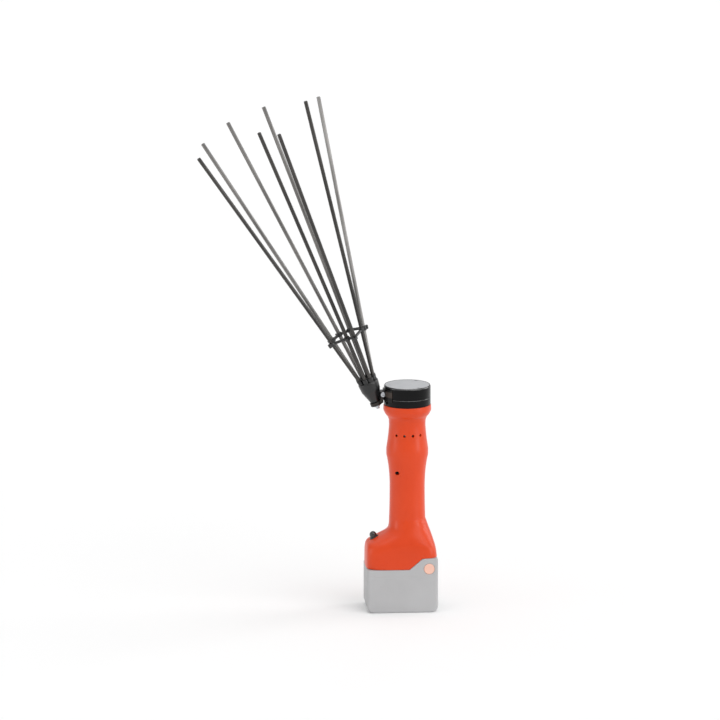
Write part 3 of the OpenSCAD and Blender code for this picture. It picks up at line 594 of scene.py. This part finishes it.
SWING = Matrix.Translation((-26, 0, 0)) @ Matrix.Rotation(math.radians(6), 4, "Z") @ Matrix.Translation((26, 0, 0))
BUNDLE = Matrix.Translation((-41.5, 0, 301.8)) @ Matrix.Rotation(math.radians(-21), 4, "Y")
IN_BUNDLE = SWING @ BUNDLE
EYE = (-38.0, 331.0)
FAN = [(-157.5, -165, 14.4), (-112.5, -107, 8.0), (-67.5, -91, 12.0), (-22.5, 0, 7.4), (22.5, 0, 10.1), (67.5, 82, 6.5), (112.5, 127, 9.3), (157.5, 169, 11.7)]
ROD_AT, ROD_SPREAD = [], []
for seat, turn, spread in FAN:
    foot = Vector((9.2 * math.cos(math.radians(seat)), 9.2 * math.sin(math.radians(seat)), 44.0))
    sp, tu = math.radians(spread), math.radians(turn)
    aim_to = Vector((math.sin(sp) * math.cos(tu), math.sin(sp) * math.sin(tu), math.cos(sp)))
    ROD_AT.append(IN_BUNDLE @ rod_matrix(foot, aim_to))
    ROD_SPREAD.append(IN_BUNDLE @ Matrix.Translation(foot) @ Matrix.Rotation(tu, 4, "Z") @ Matrix.Rotation(sp, 4, "Y"))


def along_y(x, z, swung=True):
    """The frame whose z points towards the rear (+Y) at that place."""
    m = Matrix.Translation((x, 0, z)) @ Matrix.Rotation(math.radians(-90), 4, "X")
    return SWING @ m if swung else m


def soft_loop(points, radius, steps=4):
    """A closed outline with every corner rounded."""
    loop = soft_profile([points[-1]] + list(points) + [points[0]], radius, steps)
    return loop[1:-1]


def moved(bm, m):
    bmesh.ops.transform(bm, matrix=m, verts=bm.verts)


# bracket: two cheeks on a round pad
chain = [(-41.9, 325), (-42.5, 321.3), (-45, 318.3), (-44.3, 315.2), (-38.5, 317.7), (-37.2, 318.6), (-37.2, 326.8), (-34.4, 329.4)]
chain = soft_profile([(-41.7, 331)] + chain + [(-34.1, 331)], 1.6, 5)
arc = [(EYE[0] + 3.9 * math.cos(math.pi * k / 32), EYE[1] + 3.9 * math.sin(math.pi * k / 32)) for k in range(1, 32)]
outline = arc + chain


def inset_outline(points, d):
    """The outline moved inwards by d, for a rounded edge."""
    n = len(points)
    area = sum(points[i][0] * points[(i + 1) % n][1] - points[(i + 1) % n][0] * points[i][1] for i in range(n))
    sgn = 1 if area > 0 else -1
    out = []
    for i in range(n):
        a, b, c = Vector(points[i - 1]), Vector(points[i]), Vector(points[(i + 1) % n])
        u, v = (b - a), (c - b)
        nu = Vector((-u.y, u.x)).normalized() if u.length > 1e-9 else Vector((0, 0))
        nv = Vector((-v.y, v.x)).normalized() if v.length > 1e-9 else nu
        w = nu + nv
        w = w / max(w.length_squared, 0.4) * 2 if w.length > 1e-6 else nu
        p = b + w * d * sgn
        out.append((p.x, p.y))
    return out


def soft_prism(bm, points, lo, hi, r=0.4, axes="xy", steps=3):
    """A drawn-out outline whose two end edges are rounded to radius r."""
    def put(p, h):
        return {"xy": (p[0], p[1], h), "xz": (p[0], h, p[1]), "yz": (h, p[0], p[1])}[axes]
    rows = []
    for k in range(steps + 1):
        a = math.pi / 2 * k / steps
        rows.append((lo + r * (1 - math.sin(a)), r * (1 - math.cos(a))))
    rows = rows[::-1]
    rows += [(hi - (h - lo), d) for h, d in rows[::-1]]
    ring_loft(bm, [[put(p, h) for p in inset_outline(points, d)] for h, d in rows])


bm = bmesh.new()
turned(bm, soft_profile([(0, 13), (9, 13), (9, 18.4), (0, 18.4)], 0.5, 4), 72, BUNDLE)
bracket = new_object("arm_bracket_plate", bm, 40)
for y0, y1 in ((-7.1, -4.6), (4.6, 7.1)):
    bm = bmesh.new()
    soft_prism(bm, outline, y0, y1, 0.45, "xz")
    carve(bracket, new_object("cheek", bm), "UNION", 40)
bm = bmesh.new()
cyl(bm, 2.55, -9, 9, along_y(*EYE, swung=False), 48)
carve(bracket, new_object("eye", bm), crease=40)
bm = bmesh.new()
cyl(bm, 2.6, 8, 28, BUNDLE, 48)
carve(bracket, new_object("bore", bm), crease=40)
bracket.data.transform(Matrix.Scale(MM, 4) @ SWING @ Matrix.Scale(1 / MM, 4))
finish_piece(bracket, "rocker", "brown_plate", "arm_bracket")

# bolt: round head with a hexagon socket
bm = bmesh.new()
turned(bm, [(0, -9.7), (2.6, -9.7)] + soft_profile([(2.6, -9.7), (3.9, -9.45), (3.9, -7.15), (2.5, -7.15)], 0.7, 5)[1:] + [(2.5, 9.8), (2.1, 10.2), (0, 10.2)], 64, along_y(*EYE))
bolt = new_object("arm_bolt_turned", bm, 35)
bm = bmesh.new()
turned(bm, [(0, -10.2), (2.0, -10.2), (2.0, -8.1), (0, -8.1)], 6, along_y(*EYE))
carve(bolt, new_object("socket", bm), crease=35)
finish_piece(bolt, "rocker", "bright_steel", "arm_bolt")


def nut_mesh(name, at):
    bm = bmesh.new()
    turned(bm, [(0, 0), (4.62, 0), (4.62, 2.7), (0, 2.7)], 6, at)
    ob = new_object(name, bm, 30)
    bm = bmesh.new()
    turned(bm, [(0, 0), (4.05, 0), (4.62, 0.34), (4.62, 2.36), (4.05, 2.7), (0, 2.7)], 64, at)
    carve(ob, new_object("chamfer", bm), "INTERSECT", 25)
    bm = bmesh.new()
    turned(bm, [(0, -0.5), (3.0, -0.5), (3.0, 0.0), (2.51, 0.45), (2.51, 2.25), (3.0, 2.7), (3.0, 3.2), (0, 3.2)], 48, at)
    carve(ob, new_object("thread", bm), crease=25)
    return ob


nut_a = nut_mesh("arm_nuts_hex", along_y(*EYE) @ Matrix.Translation((0, 0, 7.15)))
nut_b = nut_mesh("arm_nut_lower", IN_BUNDLE @ Matrix.Translation((0, 0, 10.25)))
bm = bmesh.new()
bm.from_mesh(nut_a.data)
bm.from_mesh(nut_b.data)
bm.to_mesh(nut_a.data)
bm.free()
bpy.data.objects.remove(nut_b, do_unlink=True)
shade(nut_a, 25)
finish_piece(nut_a, "rocker", "bright_steel", "arm_nuts")

# holder: a cone with eight sockets
bm = bmesh.new()
cone = soft_profile([(0, 18.5), (6.9, 18.5), (7.5, 19.2), (14.4, 38), (15.7, 50), (14.9, 52), (0, 52)], 1.4, 5)
fine_cone = [cone[0]]
for a, b in zip(cone, cone[1:]):
    parts = max(1, int(math.dist(a, b) / 1.6))
    fine_cone += [(a[0] + (b[0] - a[0]) * k / parts, a[1] + (b[1] - a[1]) * k / parts) for k in range(1, parts + 1)]
turned(bm, fine_cone, 120, IN_BUNDLE)
holder = new_object("rod_holder_cone", bm, 30)
for k, m in enumerate(ROD_AT):
    bm = bmesh.new()
    turned(bm, soft_profile([(0, 3), (4.3, 3), (4.3, 16), (0, 16)], 0.6, 4), 48, m)
    carve(holder, new_object("socket", bm), "UNION", 30)
bm = bmesh.new()
for m in ROD_AT:
    turned(bm, [(0, -0.2), (2.95, -0.2), (2.95, 15.5), (3.35, 16.1), (3.35, 20), (0, 20)], 40, m)
carve(holder, new_object("bores", bm), crease=30)
bm = bmesh.new()
cyl(bm, 4.6, -6.5, 6.5, along_y(*EYE), 56)
carve(holder, new_object("relief", bm), crease=30)
bm = bmesh.new()
turned(bm, [(0, 17), (2.6, 17), (2.6, 24.5), (4.4, 24.5), (4.4, 66), (0, 66)], 48, IN_BUNDLE)
carve(holder, new_object("well", bm), crease=30)
finish_piece(holder, "rocker", "holder_black", "rod_holder")

# rods: pulled carbon rods with rounded tips, drawn along their own length
NEAR = (0, 1, 2, 3)
for k, m in enumerate(ROD_AT):
    bm = bmesh.new()
    prof = [(0, 0), (2.6, 0), (2.9, 0.3)] + [(2.9, 450 * j / 24) for j in range(1, 24)] + [(2.9, 449.2), (2.82, 449.6), (2.6, 449.88), (2.2, 450), (0, 450)]
    turned(bm, prof, 28)
    rod = new_object("rod_%d_pultruded" % (k + 1), bm, 40)
    q = m.copy()
    q.translation = q.translation * MM
    rod.matrix_world = q
    finish_piece(rod, "rocker", "rod_carbon", "rod_%d" % (k + 1))
    # the rods behind the front four get a paler copy of the carbon, a painted sheen, and rod 5 the palest copy, a
    # painted highlight
    if k not in NEAR:
        rod.data.materials[0] = MATS["rod_carbon_light" if k == 4 else "rod_carbon_pale"]

# spacer: eyelets on the rods, each with a small outward ear, joined by round bars
SPACER = 88.0


def eyelet_parts(k):
    yield soft_profile([(0, SPACER - 3), (4.5, SPACER - 3), (4.5, SPACER + 3), (0, SPACER + 3)], 0.9, 4), ROD_SPREAD[k], 44
    yield soft_profile([(0, SPACER - 3), (2.4, SPACER - 3), (2.4, SPACER + 3), (0, SPACER + 3)], 0.7, 4), ROD_SPREAD[k] @ Matrix.Translation((5.0, 0, 0)), 36


spacer = None
for k in range(8):
    for prof, m, seg in eyelet_parts(k):
        bm = bmesh.new()
        turned(bm, prof, seg, m)
        one = new_object("eyelet", bm, 35)
        spacer = carve(spacer, one, "UNION", 35) if spacer else one
spacer.name = "rod_spacer_ring"
for k in range(8):
    a = ROD_AT[k] @ Vector((0, 0, SPACER))
    b = ROD_AT[(k + 1) % 8] @ Vector((0, 0, SPACER))
    bm = bmesh.new()
    cyl(bm, 2.2, 0.6, (b - a).length - 0.6, rod_matrix(a, b - a), 28)
    carve(spacer, new_object("bar", bm), "UNION", 35)
bm = bmesh.new()
for k, m in enumerate(ROD_AT):
    turned(bm, [(0, SPACER - 8), (3.35, SPACER - 8), (3.35, SPACER - 3), (2.95, SPACER - 2.5), (2.95, SPACER + 2.5), (3.35, SPACER + 3), (3.35, SPACER + 8), (0, SPACER + 8)], 40, m)
    cyl(bm, 0.9, SPACER - 5, SPACER + 5, ROD_SPREAD[k] @ Matrix.Translation((5.7, 0, 0)), 24)
carve(spacer, new_object("bores", bm), crease=35)
finish_piece(spacer, "rocker", "spacer_black", "rod_spacer")

# --------------------------------------------------------------- the button

bm = bmesh.new()
dome = [(5.25 * math.cos(math.pi / 2 * j / 14), 5.2 + 5.25 * math.sin(math.pi / 2 * j / 14)) for j in range(15)]
turned(bm, [(0, -11.5), (1.7, -11.5), (1.9, -11.3), (1.9, -5), (5.05, -5), (5.25, -4.8)] + dome[:-1] + [(0, 10.45)], 72, BUTTON_AT)
finish_piece(new_object("power_button_dome", bm, 40), "button", "button_black", "power_button")

bm = bmesh.new()
lip = soft_profile([(5.33, -6), (6.95, -6), (6.95, 2.2), (5.33, 2.2), (5.33, -6)], 0.5, 4)
turned(bm, lip[:-1], 72, BUTTON_AT, close=True)
finish_piece(new_object("button_bezel_ring", bm, 35), "housing", "button_black", "button_bezel")


def coil_spring(name, body, node, r, wire, height, turns, at):
    """A coil of round wire that stands on at."""
    rings = []
    for i in range(turns * 36 + 1):
        a = 2 * math.pi * i / 36
        z = wire + (height - 2 * wire) * i / (turns * 36)
        rings.append([at @ Vector(((r + wire * math.cos(b)) * math.cos(a), (r + wire * math.cos(b)) * math.sin(a), z + wire * math.sin(b))) for b in (2 * math.pi * j / 12 for j in range(12))])
    bm = bmesh.new()
    ring_loft(bm, rings)
    ob = finish_piece(new_object(name, bm, 40), body, "spring_steel", node)
    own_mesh(ob)


coil_spring("button_return_spring", "housing", "button_spring", 3.2, 0.45, 6.7, 4, BUTTON_AT @ Matrix.Translation((0, 0, -11.9)))

# -------------------------------------------------------------- the battery


def round_rect(x0, x1, y0, y1, r, steps=8):
    pts = []
    for cx, cy, a0 in ((x1 - r, y1 - r, 0), (x0 + r, y1 - r, 90), (x0 + r, y0 + r, 180), (x1 - r, y0 + r, 270)):
        for k in range(steps + 1):
            a = math.radians(a0 + 90 * k / steps)
            pts.append((cx + r * math.cos(a), cy + r * math.sin(a)))
    return pts


def foot_row(z):
    """How far the ends and the sides come in near the pack's underside."""
    e = 10 - math.sqrt(max(0.0, 100 - (10 - z) ** 2)) if z < 10 else 0.0
    s = 2 - math.sqrt(max(0.0, 4 - (2 - z) ** 2)) if z < 2 else 0.0
    return e, s


bm = bmesh.new()
rings = []
for z in [0, 0.12, 0.35, 0.7, 1.2, 1.8, 2.5, 3.4, 4.5, 5.8, 7.2, 8.6, 10, 14, 20, 30, 40, 50, 55.2, 55.65, 55.9, 56]:
    e, s = foot_row(z)
    g = 0.22 * ((z - 55.2) / 0.8) ** 2 if z > 55.2 else 0.0
    rings.append([(x, y, z) for x, y in round_rect(-63 + e + g, 44 - e - g, -37 + s + g, 37 - s - g, 4.5)])
ring_loft(bm, rings)
tub = new_object("battery_case_tub", bm, 40)


def pack_room(z0, z1, e0=0.0):
    """The hollow of the pack, less the four blocks its screws run in."""
    bm = bmesh.new()
    rows = [(z0 + e0 * (1 - math.cos(a)), e0 * (1 - math.sin(a))) for a in (math.pi / 2 * k / 8 for k in range(9))] if e0 else [(z0, 0.0)]
    ring_loft(bm, [[(x, y, z) for x, y in round_rect(-60.6 + e, 41.6 - e, -34.6, 34.6, 2.5)] for z, e in rows + [(z1, 0.0)]])
    room = new_object("room", bm, 40)
    bm = bmesh.new()
    for x0, x1 in ((-61.5, -56.2), (37.2, 42.5)):
        for y0, y1 in ((-35.5, -27), (27, 35.5)):
            block(bm, x0, x1, y0, y1, z0 - 3, z1 + 3)
    return carve(room, new_object("corners", bm), crease=40)


PACK_SCREWS = [Matrix.Translation((x, y, 0)) for x in (-58.7, 39.7) for y in (-30, 30)]
carve(tub, pack_room(2.6, 58, 7.4), crease=40)
drilled(tub, [(m, [(1.35, -1, 58), (2.4, -1, 6.5)]) for m in PACK_SCREWS], crease=40)
finish_piece(tub, "battery", "battery_grey", "battery_case")

bm = bmesh.new()
rings = []
for z in [56, 56.1, 56.35, 56.8, 60, 65.0, 65.6, 65.9, 66]:
    g = 0.22 * ((56.8 - z) / 0.8) ** 2 if z < 56.8 else 0.0
    if z > 65.0:
        g = 0.9 * ((z - 65.0) / 1.0) ** 2
    rings.append([(x, y, z) for x, y in round_rect(-63 + g, 44 - g, -37 + g, 37 - g, 4.5)])
ring_loft(bm, rings)
cap = new_object("battery_top_cap", bm, 40)
# the raised end that stands beside the housing's stepped edge
slope = [(-1.0, 62), (0.5, 66)] + soft_profile([(0.5, 66), (20.6, 83), (44, 83), (44, 62)], 4.0, 8)[1:]
bm = bmesh.new()
soft_prism(bm, slope, -37, 37, 1.3, "xz", 5)
end = new_object("raised_end", bm, 40)
bm = bmesh.new()
ring_loft(bm, [[(x, y, z) for x, y in round_rect(-63, 44, -37.2, 37.2, 4.5, 12)] for z in (60, 64, 74, 90)])
carve(end, new_object("outline", bm), "INTERSECT", 40)
carve(cap, end, "UNION", 40)
bm = bmesh.new()
rail = [(-24.6, 64.5), (24.6, 64.5), (24.6, 70.7), (29.4, 70.7), (30, 71.3), (30, 76.0), (29.4, 76.6), (-29.4, 76.6), (-30, 76.0), (-30, 71.3), (-29.4, 70.7), (-24.6, 70.7)]
soft_prism(bm, rail, -50, 17, 0.5, "yz")
carve(cap, new_object("rail", bm), "UNION", 40)
carve(cap, pack_room(54, 62.5), crease=40)
bm = bmesh.new()
for y in (-8, 8):
    block(bm, -51, -33, y - 1.5, y + 1.5, 61, 75.6)
carve(cap, new_object("contact_slots", bm), crease=40)
drilled(cap, [(m, [(1.21, 55, 61.4)]) for m in PACK_SCREWS], crease=40)
bm = bmesh.new()
turned(bm, [(0, 25), (8.18, 25), (8.18, 36.4), (8.7, 37.0), (9.2, 38.2), (0, 38.2)], 72, along_y(30.4, 67.1, False))
turned(bm, [(0, -25), (8.18, -25), (8.18, -36.4), (8.7, -37.0), (9.2, -38.2), (0, -38.2)], 72, along_y(30.4, 67.1, False))
carve(cap, new_object("button_bores", bm), crease=40)
finish_piece(cap, "battery", "battery_grey", "battery_top")
flat = cap.modifiers.new("flat_faces", "WEIGHTED_NORMAL")
flat.keep_sharp = True
flat.weight = 100

for side, node in ((-1, "release_button_front"), (1, "release_button_rear")):
    bm = bmesh.new()
    face = soft_profile([(0, 31.2), (8.1, 31.2), (8.1, 36.6), (7.3, 37.6), (5.2, 37.45), (0, 37.1)], 0.8, 5)
    turned(bm, [(r, side * h) for r, h in face], 72, along_y(30.4, 67.1, False))
    finish_piece(new_object(node + "_disc", bm, 40), "release_front" if side < 0 else "release_rear", "release_pale", node)
    seat = Matrix.Translation((30.4, side * 25.1, 67.1)) @ Matrix.Rotation(math.radians(-90 * side), 4, "X")
    coil_spring(node.replace("button", "spring") + "_coil", "battery", "release_springs", 4.0, 0.5, 6.0, 3, seat)

# ------------------------------------------------------------- stage, camera


FORWARD = Vector((0.0783, 0.97315, -0.21644)).normalized()
TARGET = Vector((-0.07115, 0.0, 0.3826))
AWAY = 20.0
cam = bpy.data.cameras.new("camera")
cam.sensor_width = 36.0
cam.lens = 36.0 * AWAY / 1.08
cam.clip_end = 200.0
cam_ob = bpy.data.objects.new("camera", cam)
cam_ob.location = TARGET - FORWARD * AWAY
cam_ob.rotation_euler = FORWARD.to_track_quat("-Z", "Y").to_euler()
SCENE.collection.objects.link(cam_ob)
SCENE.camera = cam_ob

bm = bmesh.new()
ring_loft(bm, [[(x * 1000.0, y * 1000.0, -0.05) for x in (-14.0, -7.0, 0.0, 7.0, 14.0)] for y in (-14.0, -7.0, 0.0, 7.0, 14.0, 21.0)], cap=False, closed=False)
floor = new_object("floor", bm, 60)
if floor.data.polygons[0].normal.z < 0:
    floor.data.flip_normals()
floor.data.materials.append(material("studio_floor", (0.945, 0.945, 0.945, 1), (0.955, 0.955, 0.955, 1), (0.75, 0.85), grain=300, grain_depth=0.0002, cloud=3, spec=0.1))

world = bpy.data.worlds.new("studio")
SCENE.world = world
world.use_nodes = True
world.node_tree.nodes["Background"].inputs["Color"].default_value = (1.0, 1.0, 1.0, 1.0)
world.node_tree.nodes["Background"].inputs["Strength"].default_value = 0.6


def soft_sun(name, direction, strength, angle, gleam=False):
    """A wide studio light: it comes along direction, and is as soft as its angle is wide. A gleam only shows in shiny faces."""
    li = bpy.data.lights.new(name, "SUN")
    li.energy = strength
    li.angle = math.radians(angle)
    ob = bpy.data.objects.new(name, li)
    ob.rotation_euler = Vector(direction).normalized().to_track_quat("-Z", "Y").to_euler()
    ob.location = (0, 0, 3)
    ob.visible_diffuse = not gleam
    SCENE.collection.objects.link(ob)
    return ob


soft_sun("key", (-0.6, 0.75, -0.85), 0.89, 50)
soft_sun("fill", (0.75, 0.6, -0.7), 0.26, 70)
soft_sun("top", (0.05, -0.2, -1.0), 0.55, 80)
soft_sun("rim", (-0.95, -0.3, -0.35), 0.65, 34)
soft_sun("gleam_top", (0.1, 0.34, -0.94), 0.4, 30, True)
soft_sun("gleam_right", (-0.86, 0.5, -0.1), 0.48, 18, True)
soft_sun("gleam_left", (0.95, 0.2, -0.12), 0.3, 16, True)

SCENE.view_settings.view_transform = "Standard"
SCENE.view_settings.look = "None"
